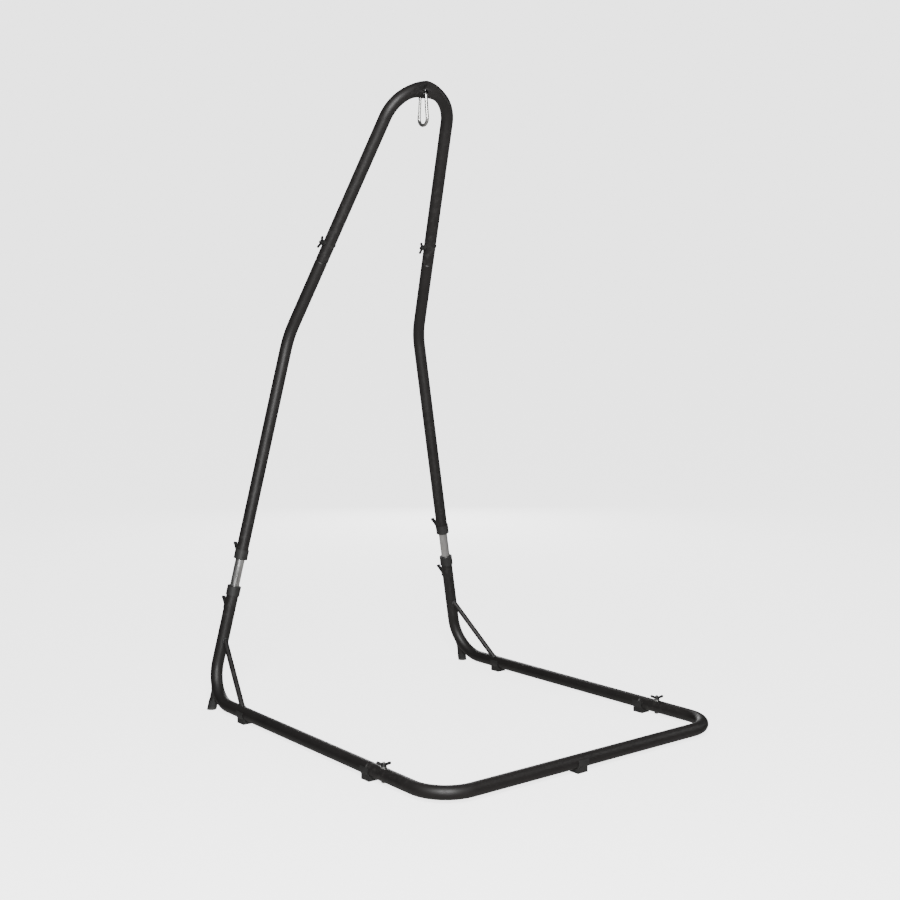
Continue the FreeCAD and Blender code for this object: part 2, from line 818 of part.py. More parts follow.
def washer(label, frame, along, top):
    """Washer hollowed on one side to sit on the round tube."""
    start = moved(frame, along_z=size("tube_diameter / 2 - washer_skirt"))
    disc = round_bar(label + "_disc", "washer_diameter",
                     f"{top} - tube_diameter / 2 + washer_skirt", start)
    bore = round_bar(label + "_bore", "washer_bore", "2 * tube_diameter", frame)
    seat_frame = placed(frame.Base - along * size("tube_diameter"), UP.cross(along), along)
    seat = round_bar(label + "_seat", "tube_diameter", "2 * tube_diameter", seat_frame)
    keep(label, difference(label, disc, [bore, seat]))


def wing_nut(label, frame, seat):
    """Wing nut: a tapered hub and two rounded wings."""
    body = new_body(label)
    hub = [
        ("nut_bore / 2", "0"),
        ("nut_base_diameter / 2", "0"),
        ("nut_base_diameter / 2", "nut_flange"),
        ("nut_top_diameter / 2", "nut_height"),
        ("nut_bore / 2", "nut_height"),
    ]
    revolved(body, "XZ_Plane", hub, label + "_hub", "V_Axis")
    sketch = new_sketch(body, "XZ_Plane", label + "_wings_outline")
    for sign in (-1, 1):
        wing_outline(sketch, sign)
    wings = body.newObject("PartDesign::Pad", label + "_wings")
    wings.Profile = sketch
    wings.SideType = "Symmetric"
    wings.setExpression("Length", bound("wing_thickness"))
    body.Placement = moved(frame, along_z=size(seat))
    keep(label, body)


def wing_outline(sketch, sign):
    """One wing: a round tip joined to the hub by two straight edges."""
    radius = size("wing_tip_radius")
    centre = Vector(sign * size("wing_reach"), size("wing_rise"), 0)
    low = math.radians(size("wing_low_angle" if sign > 0 else "180 - wing_high_angle"))
    high = math.radians(size("wing_high_angle" if sign > 0 else "180 - wing_low_angle"))
    ring = Part.Circle(centre, Vector(0, 0, 1), radius)
    tip = sketch.addGeometry(Part.ArcOfCircle(ring, low, high))

    def on_tip(angle):
        return centre + Vector(math.cos(angle), math.sin(angle), 0) * radius

    root = sign * size("nut_bore / 2 + wing_root_inset")
    root_low = Vector(root, size("2 * wing_root_inset"), 0)
    root_high = Vector(root, size("nut_height - wing_root_inset"), 0)
    first, last = (low, high) if sign > 0 else (high, low)
    lower = sketch.addGeometry(Part.LineSegment(root_low, on_tip(first)))
    upper = sketch.addGeometry(Part.LineSegment(on_tip(last), root_high))
    back = sketch.addGeometry(Part.LineSegment(root_high, root_low))
    start, finish = (1, 2) if sign > 0 else (2, 1)
    name = "right" if sign > 0 else "left"
    sketch.addConstraint(Sketcher.Constraint("Coincident", lower, 2, tip, start))
    sketch.addConstraint(Sketcher.Constraint("Coincident", tip, finish, upper, 1))
    sketch.addConstraint(Sketcher.Constraint("Coincident", upper, 2, back, 1))
    sketch.addConstraint(Sketcher.Constraint("Coincident", back, 2, lower, 1))
    dimension(sketch, "Radius", (tip,), "wing_tip_radius", "tip_" + name)


# ---------------------------------------------------------------- collars and clamps
def collar(label, frame, pivot, rising):
    """Collar over a tube end, with the bushing that guides the inner tube.

    The frame sits at the tube end; rising is 1 where the tube runs up from it.
    """
    body = new_body(label + "_ring")
    outer = "collar_diameter / 2"
    bore = "bushing_bore / 2"
    over = "tube_diameter / 2 + collar_gap"
    under = "tube_diameter / 2 - tube_wall - collar_gap"
    sign = "" if rising > 0 else "-"
    lip = "-" if rising > 0 else ""
    points = [
        (bore, f"{lip}collar_lip"),
        (f"{outer} - collar_chamfer", f"{lip}collar_lip"),
        (outer, f"{lip}(collar_lip - collar_chamfer)"),
        (outer, f"{sign}(collar_length - collar_lip)"),
        (over, f"{sign}(collar_length - collar_lip)"),
        (over, f"{lip}collar_gap"),
        (under, f"{lip}collar_gap"),
        (under, f"{sign}(collar_length - collar_lip)"),
        (bore, f"{sign}(collar_length - collar_lip)"),
    ]
    revolved(body, "XZ_Plane", points, label + "_turn", "V_Axis")
    body.Placement = frame
    width = "lever_width + 2 * (bracket_gap + bracket_wall + notch_gap)"
    length = "bracket_length + 2 * notch_gap"
    corner = moved(pivot, along_y=-size(width) / 2, along_z=-size(length) / 2)
    notch = block(label + "_notch", "tube_diameter", width, length, corner)
    keep(label, difference(label, body, [notch]))


def bracket(label, frame):
    """Two cheeks and a web, welded on the tube, that hold a lever's pin."""
    width = "lever_width + 2 * (bracket_gap + bracket_wall)"
    slot_width = "lever_width + 2 * bracket_gap"
    half_length = size("bracket_length / 2")
    outside = block(label + "_outside", "bracket_top", width, "bracket_length",
                    moved(frame, along_y=-size(width) / 2, along_z=-half_length))
    slot = block(label + "_slot", "tube_diameter", slot_width, "bracket_length",
                 moved(frame, along_y=-size(slot_width) / 2,
                       along_z=-half_length + size("bracket_web")))
    web_top = block(label + "_web_top", "tube_diameter", slot_width, "bracket_length",
                    moved(frame, along_x=size("tube_diameter / 2 + bracket_web"),
                          along_y=-size(slot_width) / 2, along_z=-half_length))
    tube = round_bar(label + "_tube", "tube_diameter", "2 * bracket_length",
                     moved(frame, along_z=-2 * half_length))
    hole = pin_bar(label + "_hole", frame, "pin_hole_diameter")
    keep(label, difference(label, outside, [slot, web_top, tube, hole]))


def pin_bar(name, frame, diameter):
    """A round bar along the pivot of a clamp lever."""
    start = moved(frame, along_x=size("lever_pivot"), along_y=-size("pin_length / 2"))
    turned = start.multiply(FreeCAD.Placement(Vector(0, 0, 0),
                                              FreeCAD.Rotation(Vector(1, 0, 0), -90)))
    return round_bar(name, diameter, "pin_length", turned)


def clamp_lever(label, frame):
    """Cam lever: a lobe that bears on the inner tube and a raised finger tip."""
    body = new_body(label)
    hub = size("lever_hub_radius")
    neck = size("lever_neck_radius")
    tip = Vector(size("lever_reach"), size("lever_rise"), 0)
    slope = math.atan2(tip.y, tip.x)
    flare = math.acos((hub - neck) / tip.Length)
    sketch = new_sketch(body, "XZ_Plane", label + "_outline")
    up = Vector(0, 0, 1)
    base_ring = Part.Circle(Vector(0, 0, 0), up, hub)
    base = sketch.addGeometry(Part.ArcOfCircle(base_ring, slope + flare,
                                               slope - flare + 2 * math.pi))
    tip_ring = Part.Circle(tip, up, neck)
    end = sketch.addGeometry(Part.ArcOfCircle(tip_ring, slope - flare, slope + flare))

    def edge_point(centre, radius, angle):
        return centre + Vector(math.cos(angle), math.sin(angle), 0) * radius

    origin = Vector(0, 0, 0)
    lower = sketch.addGeometry(Part.LineSegment(edge_point(origin, hub, slope - flare),
                                                edge_point(tip, neck, slope - flare)))
    upper = sketch.addGeometry(Part.LineSegment(edge_point(tip, neck, slope + flare),
                                                edge_point(origin, hub, slope + flare)))
    sketch.addConstraint(Sketcher.Constraint("Coincident", base, 3, -1, 1))
    sketch.addConstraint(Sketcher.Constraint("Tangent", base, 2, lower, 1))
    sketch.addConstraint(Sketcher.Constraint("Tangent", lower, 2, end, 1))
    sketch.addConstraint(Sketcher.Constraint("Tangent", end, 2, upper, 1))
    sketch.addConstraint(Sketcher.Constraint("Tangent", upper, 2, base, 1))
    dimension(sketch, "Radius", (base,), "lever_hub_radius", "hub")
    dimension(sketch, "Radius", (end,), "lever_neck_radius", "neck")
    dimension(sketch, "DistanceX", (-1, 1, end, 3), "lever_reach", "reach")
    dimension(sketch, "DistanceY", (-1, 1, end, 3), "lever_rise", "rise")
    add_pad(body, label + "_arm", sketch)
    knob = new_sketch(body, "XZ_Plane", label + "_knob_outline")
    circle(knob, "lever_knob_radius", "knob", (tip.x, tip.y))
    add_pad(body, label + "_knob", knob)
    cam = new_sketch(body, "XZ_Plane", label + "_cam_outline")
    circle(cam, "cam_radius", "cam", (size("cam_radius - cam_reach"), 0))
    add_pad(body, label + "_cam", cam)
    body.Placement = moved(frame, along_x=size("lever_pivot"))
    bore = pin_bar(label + "_bore", frame, "pin_hole_diameter")
    body.Label = label + "_blank"
    keep(label, difference(label + "_cut", body, [bore]))


def add_pad(body, name, sketch):
    pad = body.newObject("PartDesign::Pad", name)
    pad.Profile = sketch
    pad.SideType = "Symmetric"
    pad.setExpression("Length", bound("lever_width"))


def clamp(prefix, side, frame):
    """Bracket, pin and lever of one clamp."""
    bracket(f"{prefix}_bracket_{side.name}", frame)
    keep(f"{prefix}_pin_{side.name}", pin_bar(f"{prefix}_pin_{side.name}", frame, "pin_diameter"))
    clamp_lever(f"{prefix}_lever_{side.name}", frame)


# ---------------------------------------------------------------- snap hook
def hook_top_centre():
    """Centre of the hook's upper bend, which hangs from the eye."""
    tilt = math.radians(size("hook_tilt"))
    radius = size("hook_top_radius")
    eye = hanger_eye()
    return Vector(0, eye.y + radius * math.sin(tilt), eye.z - radius * math.cos(tilt))


def snap_hook():
    """Pear-shaped hook of round wire, its gate and the gate's pin."""
    middle = hook_top_centre()
    taper = math.radians(size("hook_taper"))
    rear_way = Vector(0, math.sin(taper), -math.cos(taper))
    rear_out = Vector(0, math.cos(taper), math.sin(taper))
    rear_tangent = middle + rear_out * size("hook_top_radius")
    length = "hook_centres * cos(hook_taper)"
    runs = ["gate_start", length, f"{length} - gate_end"]
    bends = [("hook_top_radius", "180 - 2 * hook_taper"),
             ("hook_bottom_radius", "180 + 2 * hook_taper")]
    body = bent_bar("hook_wire_body", runs, bends, "hook_wire")
    start = rear_tangent + rear_way * size("gate_start")
    body.Placement = placed(start, -rear_way, Vector(1, 0, 0))
    pivot = rear_tangent + rear_way * size("gate_pin_place")
    slot_frame = placed(pivot, rear_out, rear_way)
    slot = block("hook_slot", "2 * hook_wire", "gate_slot", "2 * hook_wire",
                 moved(slot_frame, along_x=-size("hook_wire"), along_y=-size("gate_slot / 2"),
                       along_z=-size("gate_slot_back")))
    pin_frame = placed(pivot - Vector(size("hook_wire / 2"), 0, 0), UP, Vector(1, 0, 0))
    bore = round_bar("hook_pin_bore", "gate_pin_diameter", "hook_wire", pin_frame)
    keep("snap_hook", difference("snap_hook", body, [slot, bore]))
    keep("hook_pin", round_bar("hook_pin", "gate_pin_diameter", "hook_wire", pin_frame))
    gate(rear_tangent, rear_way, rear_out, pivot, pin_frame)


def gate(tangent, way, out, pivot, pin_frame):
    """Spring gate: a round bar with a tongue on the pin."""
    bar_start = tangent + way * size("gate_start + gate_top_gap")
    bar = round_bar("gate_bar", "gate_diameter",
                    "gate_end - gate_nose_gap - gate_start - gate_top_gap",
                    placed(bar_start, out, way))
    tongue_frame = placed(pivot, out, way)
    reach = size("gate_pin_diameter")
    tongue = block("gate_tongue_blank", "2 * gate_pin_diameter", "gate_tongue",
                   "gate_start + gate_top_gap - gate_pin_place + gate_pin_diameter",
                   moved(tongue_frame, along_x=-reach, along_y=-size("gate_tongue / 2")))
    eye = round_bar("gate_eye", "2 * gate_pin_diameter", "gate_tongue",
                    placed(pivot - Vector(size("gate_tongue / 2"), 0, 0), UP, Vector(1, 0, 0)))
    joined = doc.addObject("Part::MultiFuse", "gate_blank")
    joined.Shapes = [bar, tongue, eye]
    hole = round_bar("gate_hole", "gate_pin_diameter + 0.1", "hook_wire", pin_frame)
    keep("hook_gate", difference("hook_gate", joined, [hole]))


# ---------------------------------------------------------------- assembly
for side in (LEFT, RIGHT):
    base_rail(side)
    upper_leg(side)
    inner_tube(side)
    rail_solid = solid_rail(side)
    brace(side, rail_solid)
    rear_stub(side, rail_solid)
    saddle("rear_saddle_" + side.name, side.on_rail(size("rear_saddle")), side.rail)
    saddle("joint_saddle_" + side.name, side.on_rail(size("joint_saddle")), side.rail)
    base_bolt = bolt_frame(side.on_rail(size("rail_joint + bolt_offset")), UP)
    bolt("base_bolt_" + side.name, base_bolt, "bolt_end")
    washer("base_washer_" + side.name, base_bolt, side.rail, "washer_top")
    wing_nut("base_wing_nut_" + side.name, turned(base_bolt, "base_nut_turn"), "washer_top")
    leg_bolt = leg_bolt_frame(side)
    bolt("leg_bolt_" + side.name, leg_bolt, "leg_bolt_end")
    washer("leg_washer_" + side.name, leg_bolt, side.upper, "leg_washer_top")
    wing_nut("leg_wing_nut_" + side.name, leg_bolt, "leg_washer_top")
    lower_end = leg_frame(side, size("lower_tube_end"))
    lower_pivot = leg_frame(side, size("lower_tube_end - lower_pivot_drop"))
    collar("lower_collar_" + side.name, lower_end, lower_pivot, -1)
    clamp("lower", side, lower_pivot)
    upper_end = leg_frame(side, size("upper_tube_end"))
    upper_pivot = leg_frame(side, size("upper_tube_end + upper_pivot_rise"))
    collar("upper_collar_" + side.name, upper_end, upper_pivot, 1)
    clamp("upper", side, upper_pivot)
front_bow()
saddle("front_saddle", Vector(size("front_saddle_x"), LEFT.front_corner.y, size("axis_height")),
       Vector(1, 0, 0))
top_arch()
snap_hook()

# ---------------------------------------------------------------- check and export
doc.recompute()
for item in doc.Objects:
    if "Invalid" in item.State or "Error" in item.State:
        raise RuntimeError(f"{item.Label} did not build: {item.State}")
for item in nodes:
    if item.Shape.isNull() or not item.Shape.isValid():
        raise RuntimeError(f"{item.Label} has no valid shape")
    if len(item.Shape.Solids) != 1:
        raise RuntimeError(f"{item.Label} has {len(item.Shape.Solids)} solids")
os.makedirs("parts", exist_ok=True)
for item in nodes:
    item.Shape.exportStep(f"parts/{item.Label}.step")
    print(item.Label, round(item.Shape.Volume))
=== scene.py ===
import json
import math

import bmesh
import bpy
from mathutils import Matrix, Vector


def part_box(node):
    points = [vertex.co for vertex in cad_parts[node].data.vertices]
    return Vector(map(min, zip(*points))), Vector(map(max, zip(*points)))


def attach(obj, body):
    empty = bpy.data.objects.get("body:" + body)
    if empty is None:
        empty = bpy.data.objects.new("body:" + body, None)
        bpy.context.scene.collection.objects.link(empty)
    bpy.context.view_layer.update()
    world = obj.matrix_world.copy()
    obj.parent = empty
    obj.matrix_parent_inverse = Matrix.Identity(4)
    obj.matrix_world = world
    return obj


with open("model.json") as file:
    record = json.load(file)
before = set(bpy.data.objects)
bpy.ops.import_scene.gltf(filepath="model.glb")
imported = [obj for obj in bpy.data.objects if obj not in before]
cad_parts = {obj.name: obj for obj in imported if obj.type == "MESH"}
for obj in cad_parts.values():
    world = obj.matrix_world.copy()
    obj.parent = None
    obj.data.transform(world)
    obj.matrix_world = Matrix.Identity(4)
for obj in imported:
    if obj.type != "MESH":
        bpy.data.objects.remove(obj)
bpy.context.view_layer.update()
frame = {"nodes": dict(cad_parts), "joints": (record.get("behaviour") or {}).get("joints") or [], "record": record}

RECORD = frame["record"]
NODES = frame["nodes"]
JOINTS = {joint["name"]: joint for joint in frame["joints"]}
SIDES = ("left", "right")

# ---------------------------------------------------------------- shader helpers


def new_material(name):
    """A material with an empty tree, its Principled shader and its output."""
    material = bpy.data.materials.new(name)
    material.use_nodes = True
    tree = material.node_tree
    tree.nodes.clear()
    output = tree.nodes.new("ShaderNodeOutputMaterial")
    shader = tree.nodes.new("ShaderNodeBsdfPrincipled")
    tree.links.new(shader.outputs["BSDF"], output.inputs["Surface"])
    return material, tree, shader


def coordinates(tree, scale=(1, 1, 1), rotation=(0, 0, 0)):
    """Object coordinates in metres, stretched and turned."""
    source = tree.nodes.new("ShaderNodeTexCoord")
    mapping = tree.nodes.new("ShaderNodeMapping")
    mapping.inputs["Scale"].default_value = scale
    mapping.inputs["Rotation"].default_value = rotation
    tree.links.new(source.outputs["Object"], mapping.inputs["Vector"])
    return mapping.outputs["Vector"]


def noise(tree, vector, scale, detail=3.0, roughness=0.5):
    """Fractal noise, from 0 to 1 around 0.5."""
    node = tree.nodes.new("ShaderNodeTexNoise")
    node.inputs["Scale"].default_value = scale
    node.inputs["Detail"].default_value = detail
    node.inputs["Roughness"].default_value = roughness
    tree.links.new(vector, node.inputs["Vector"])
    return node.outputs["Fac"]


def spread(tree, value, low, high, start=0.3, end=0.7):
    """Stretch a noise value from start..end to low..high."""
    node = tree.nodes.new("ShaderNodeMapRange")
    node.inputs["From Min"].default_value = start
    node.inputs["From Max"].default_value = end
    node.inputs["To Min"].default_value = low
    node.inputs["To Max"].default_value = high
    tree.links.new(value, node.inputs["Value"])
    return node.outputs["Result"]


def tint(tree, value, stops):
    """Colour ramp from a list of (place, colour)."""
    node = tree.nodes.new("ShaderNodeValToRGB")
    ramp = node.color_ramp
    ramp.elements[0].position, ramp.elements[1].position = stops[0][0], stops[-1][0]
    ramp.elements[0].color = (*stops[0][1], 1)
    ramp.elements[1].color = (*stops[-1][1], 1)
    for place, colour in stops[1:-1]:
        ramp.elements.new(place).color = (*colour, 1)
    tree.links.new(value, node.inputs["Fac"])
    return node.outputs["Color"]


def raised(tree, shader, layers):
    """Chain bumps from a list of (height value, strength, distance in metres)."""
    previous = None
    for height, strength, distance in layers:
        bump = tree.nodes.new("ShaderNodeBump")
        bump.inputs["Strength"].default_value = strength
        bump.inputs["Distance"].default_value = distance
        tree.links.new(height, bump.inputs["Height"])
        if previous:
            tree.links.new(previous, bump.inputs["Normal"])
        previous = bump.outputs["Normal"]
    tree.links.new(previous, shader.inputs["Normal"])


def worn_edges(tree, colour, bare, amount):
    """Blend a colour towards bare metal on sharp convex edges, broken by noise."""
    geometry = tree.nodes.new("ShaderNodeNewGeometry")
    patches = noise(tree, coordinates(tree), 60, 5, 0.7)
    edge = spread(tree, geometry.outputs["Pointiness"], 0, 1, 0.53, 0.60)
    torn = spread(tree, patches, 0, amount, 0.50, 0.68)
    both = tree.nodes.new("ShaderNodeMath")
    both.operation = "MULTIPLY"
    tree.links.new(edge, both.inputs[0])
    tree.links.new(torn, both.inputs[1])
    mix = tree.nodes.new("ShaderNodeMix")
    mix.data_type = "RGBA"
    tree.links.new(both.outputs[0], mix.inputs["Factor"])
    tree.links.new(colour, mix.inputs["A"])
    mix.inputs["B"].default_value = (*bare, 1)
    return mix.outputs["Result"]


# ---------------------------------------------------------------- materials


def powder_coat():
    """Satin anthracite powder coat: orange peel, faint clouding and worn edges."""
    material, tree, shader = new_material("powder_coat")
    place = coordinates(tree)
    cloud = noise(tree, place, 9, 4)
    dark, light = (0.0075, 0.0066, 0.0064), (0.0112, 0.0099, 0.0096)
    colour = tint(tree, cloud, [(0.3, dark), (0.7, light)])
    colour = worn_edges(tree, colour, (0.06, 0.058, 0.056), 0.4)
    tree.links.new(colour, shader.inputs["Base Color"])
    rub = noise(tree, place, 45, 4, 0.6)
    tree.links.new(spread(tree, rub, 0.46, 0.56), shader.inputs["Roughness"])
    peel = noise(tree, place, 520, 2)
    grit = noise(tree, place, 2600, 2)
    raised(tree, shader, [(peel, 0.10, 0.00012), (grit, 0.06, 0.00004)])
    shader.inputs["Specular IOR Level"].default_value = 0.42
    return material


def weld_metal():
    """Coated weld bead: the same paint, thicker and a little shinier."""
    material, tree, shader = new_material("coated_weld")
    place = coordinates(tree)
    colour = tint(tree, noise(tree, place, 120, 3), [(0.3, (0.014, 0.014, 0.015)),
                                                     (0.7, (0.024, 0.024, 0.024))])
    tree.links.new(colour, shader.inputs["Base Color"])
    tree.links.new(spread(tree, noise(tree, place, 300, 3), 0.30, 0.5),
                   shader.inputs["Roughness"])
    raised(tree, shader, [(noise(tree, place, 900, 3), 0.3, 0.0003)])
    return material


def turned_to(direction):
    """Rotation that lays a texture's Z along a direction."""
    return Vector((0, 0, 1)).rotation_difference(Vector(direction)).inverted().to_euler()


def zinc_tube(name, direction):
    """Bright zinc on drawn tube: fine lines along the tube and soft mottling."""
    material, tree, shader = new_material(name)
    turn = turned_to(direction)
    drawn = noise(tree, coordinates(tree, (900, 900, 5), turn), 1, 3, 0.6)
    mottle = noise(tree, coordinates(tree, (1, 1, 0.35), turn), 70, 5, 0.65)
    colour = tint(tree, mottle, [(0.25, (0.50, 0.50, 0.49)), (0.55, (0.66, 0.66, 0.65)),
                                 (0.75, (0.78, 0.78, 0.77))])
    tree.links.new(colour, shader.inputs["Base Color"])
    shader.inputs["Metallic"].default_value = 1.0
    shader.inputs["Anisotropic"].default_value = 0.35
    tree.links.new(spread(tree, mottle, 0.24, 0.40), shader.inputs["Roughness"])
    raised(tree, shader, [(drawn, 0.25, 0.00006), (mottle, 0.08, 0.0002)])
    return material


def plated_steel(name, dark, light, smooth, rough):
    """Zinc-plated hardware: slight clouding, faint pitting."""
    material, tree, shader = new_material(name)
    place = coordinates(tree)
    cloud = noise(tree, place, 160, 4, 0.6)
    tree.links.new(tint(tree, cloud, [(0.3, dark), (0.7, light)]), shader.inputs["Base Color"])
    shader.inputs["Metallic"].default_value = 1.0
    tree.links.new(spread(tree, cloud, smooth, rough), shader.inputs["Roughness"])
    pits = noise(tree, place, 1400, 3)
    raised(tree, shader, [(pits, 0.03, 0.00004)])
    return material


def black_casting():
    """Blackened hardware with the skin of a small casting."""
    material, tree, shader = new_material("black_casting")
    place = coordinates(tree)
    colour = tint(tree, noise(tree, place, 90, 4), [(0.3, (0.006, 0.006, 0.006)),
                                                    (0.7, (0.012, 0.012, 0.012))])
    colour = worn_edges(tree, colour, (0.07, 0.07, 0.067), 0.5)
    tree.links.new(colour, shader.inputs["Base Color"])
    tree.links.new(spread(tree, noise(tree, place, 200, 3), 0.46, 0.62),
                   shader.inputs["Roughness"])
    shader.inputs["Specular IOR Level"].default_value = 0.36
    raised(tree, shader, [(noise(tree, place, 1100, 3, 0.6), 0.35, 0.00015)])
    return material


def moulded_plastic():
    """Black nylon with a fine spark-eroded grain."""
    material, tree, shader = new_material("moulded_plastic")
    place = coordinates(tree)
    colour = tint(tree, noise(tree, place, 30, 3), [(0.3, (0.011, 0.0108, 0.0105)),
                                                    (0.7, (0.020, 0.0195, 0.0190))])
    tree.links.new(colour, shader.inputs["Base Color"])
    tree.links.new(spread(tree, noise(tree, place, 80, 3), 0.50, 0.66),
                   shader.inputs["Roughness"])
    grain = noise(tree, place, 1900, 2, 0.7)
    flow = noise(tree, coordinates(tree, (1, 1, 4)), 25, 2)
    raised(tree, shader, [(grain, 0.25, 0.00012), (flow, 0.08, 0.0004)])
    return material


def rubber():
    """Matt black rubber, dusty where it meets the floor."""
    material, tree, shader = new_material("foot_rubber")
    source = tree.nodes.new("ShaderNodeTexCoord")
    split = tree.nodes.new("ShaderNodeSeparateXYZ")
    tree.links.new(source.outputs["Object"], split.inputs["Vector"])
    dusty = spread(tree, split.outputs["Z"], 1, 0, 0.0, 0.012)
    colour = tint(tree, dusty, [(0.0, (0.012, 0.012, 0.012)), (1.0, (0.045, 0.043, 0.040))])
    tree.links.new(colour, shader.inputs["Base Color"])
    place = coordinates(tree)
    tree.links.new(spread(tree, noise(tree, place, 120, 3), 0.68, 0.85),
                   shader.inputs["Roughness"])
    raised(tree, shader, [(noise(tree, place, 1500, 3), 0.3, 0.0002)])
    return material


def paint(node, material):
    """Give a CAD node's object one material on every slot."""
    thing = NODES[node]
    if not thing.material_slots:
        thing.data.materials.append(material)
    for slot in thing.material_slots:
        slot.material = material


COAT = powder_coat()
WELD = weld_metal()
PLASTIC = moulded_plastic()
RUBBER = rubber()
CASTING = black_casting()
HARDWARE = plated_steel("plated_hardware", (0.42, 0.42, 0.41), (0.58, 0.58, 0.57), 0.28, 0.45)
HOOK = plated_steel("hook_plating", (0.36, 0.36, 0.35), (0.44, 0.44, 0.43), 0.26, 0.34)

FINISHES = {
    "frame_coat": COAT,
    "zinc_hardware": HARDWARE,
    "black_hardware": CASTING,
    "black_plastic": PLASTIC,
    "foot_rubber": RUBBER,
    "hook_zinc": HOOK,
}
for part in RECORD["subparts"]:
    if part["material_slot"] in FINISHES:
        paint(part["node"], FINISHES[part["material_slot"]])
for side in SIDES:
    direction = JOINTS[f"inner_slide_{side}"]["axis"]
    paint(f"inner_tube_{side}", zinc_tube(f"zinc_tube_{side}", direction))

# ---------------------------------------------------------------- mesh helpers
SHARP_ANGLE = math.radians(35)
SAME_POINT = 1e-5
SHORTEST_LOOP = 7


def finish_piece(name, mesh_tool, material, body):
    """Turn a bmesh into a smooth piece that rides on a body."""
    mesh = bpy.data.meshes.new(name)
    bmesh.ops.recalc_face_normals(mesh_tool, faces=mesh_tool.faces)
    mesh_tool.to_mesh(mesh)
    mesh_tool.free()
    for face in mesh.polygons:
        face.use_smooth = True
    mesh.materials.append(material)
    thing = bpy.data.objects.new(name, mesh)
    bpy.context.scene.collection.objects.link(thing)
    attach(thing, body)


def sharp_loops(node):
    """Closed loops of sharp edges of a CAD node, as lists of points."""
    tool = bmesh.new()
    tool.from_mesh(NODES[node].data)
    bmesh.ops.remove_doubles(tool, verts=tool.verts, dist=SAME_POINT)
    links = {}
    for edge in tool.edges:
        if len(edge.link_faces) == 2 and edge.calc_face_angle() > SHARP_ANGLE:
            first, second = edge.verts
            links.setdefault(first.index, []).append(second.index)
            links.setdefault(second.index, []).append(first.index)
    tool.verts.ensure_lookup_table()
    points = {index: tool.verts[index].co.copy() for index in links}
    tool.free()
    loops = []
    unused = set(links)
    while unused:
        start = min(unused)
        chain = [start]
        unused.discard(start)
        while True:
            onward = [index for index in links[chain[-1]] if index in unused]
            if not onward:
                break
            chain.append(onward[0])
            unused.discard(onward[0])
        if len(chain) >= SHORTEST_LOOP:
            loops.append([points[index] for index in chain])
    return loops


def middle(points):
    """Mean of some points."""
    return sum(points, Vector()) / len(points)


def even_loop(points, count):
    """The same closed loop with evenly spaced points."""
    closed = points + [points[0]]
    lengths = [(closed[i + 1] - closed[i]).length for i in range(len(points))]
    total = sum(lengths)
    result = []
    place, walked = 0, 0.0
    for step in range(count):
        target = total * step / count
        while walked + lengths[place] < target:
            walked += lengths[place]
            place += 1
        share = (target - walked) / max(lengths[place], 1e-9)
        result.append(closed[place].lerp(closed[place + 1], share))
    return result


def ring_faces(tool, here, there):
    """Quads between two rings of the same number of vertices."""
    count = len(here)
    for step in range(count):
        onward = (step + 1) % count
        tool.faces.new((here[step], here[onward], there[onward], there[step]))


# ---------------------------------------------------------------- welds
BEAD_RADIUS = 0.0024
BEAD_SIDES = 10
RIPPLE_LENGTH = 0.0036
RIPPLE_STEPS = 6
FEWEST_RIPPLES = 8
TOP_REACH = 0.02


def bead(tool, loop, ripples):
    """A welded bead along a closed loop, in overlapping ripples."""
    count = len(loop)
    centre = middle(loop)
    rings = []
    for place, point in enumerate(loop):
        along = (loop[(place + 1) % count] - loop[place - 1]).normalized()
        out = point - centre
        out = (out - along * out.dot(along)).normalized()
        up = along.cross(out)
        phase = (place * ripples / count) % 1
        size = BEAD_RADIUS * (0.84 + 0.22 * math.sqrt(max(0.0, 1 - (2 * phase - 1) ** 2)))
        ring = []
        for step in range(BEAD_SIDES):
            angle = 2 * math.pi * step / BEAD_SIDES
            reach = (out * math.cos(angle) + up * math.sin(angle)) * size
            ring.append(tool.verts.new(point + reach))
        rings.append(ring)
    for place in range(count):
        ring_faces(tool, rings[place], rings[(place + 1) % count])


def weld(node, loops):
    """Weld beads along some sharp loops of a node of the base."""
    tool = bmesh.new()
    for loop in loops:
        length = sum((loop[i] - loop[i - 1]).length for i in range(len(loop)))
        ripples = max(FEWEST_RIPPLES, round(length / RIPPLE_LENGTH))
        bead(tool, even_loop(loop, ripples * RIPPLE_STEPS), ripples)
    finish_piece(f"{node}_weld", tool, WELD, "base")


def loop_reach(loop):
    """Distance from a loop's middle to its farthest point."""
    centre = middle(loop)
    return max((point - centre).length for point in loop)


def upper_outline(loops):
    """The largest of the loops near the top of a node."""
    highest = max(middle(loop).z for loop in loops)
    near = [loop for loop in loops if middle(loop).z > highest - TOP_REACH]
    return max(near, key=loop_reach)


for side in SIDES:
    weld(f"brace_{side}", sharp_loops(f"brace_{side}"))
    weld(f"rear_stub_{side}", [upper_outline(sharp_loops(f"rear_stub_{side}"))])


# ---------------------------------------------------------------- bolt threads
BOLT_RADIUS = 0.0040
PITCH = 0.00125
CREST_HEIGHT = 0.00028
ROOT_DEPTH = 0.0002
# half widths of the ridge, as shares of the pitch
CREST_HALF_WIDTH = 0.08
ROOT_HALF_WIDTH = 0.42
THREAD_LENGTH = 0.0036
THREAD_SETBACK = 0.0046
THREAD_STEPS = 28
TIP_DEPTH = 1e-4
THREADS = (("base_bolt", "base_nut_turn", "base", "zinc_hardware"),
           ("leg_bolt", "leg_nut_turn", "arch", "black_hardware"))


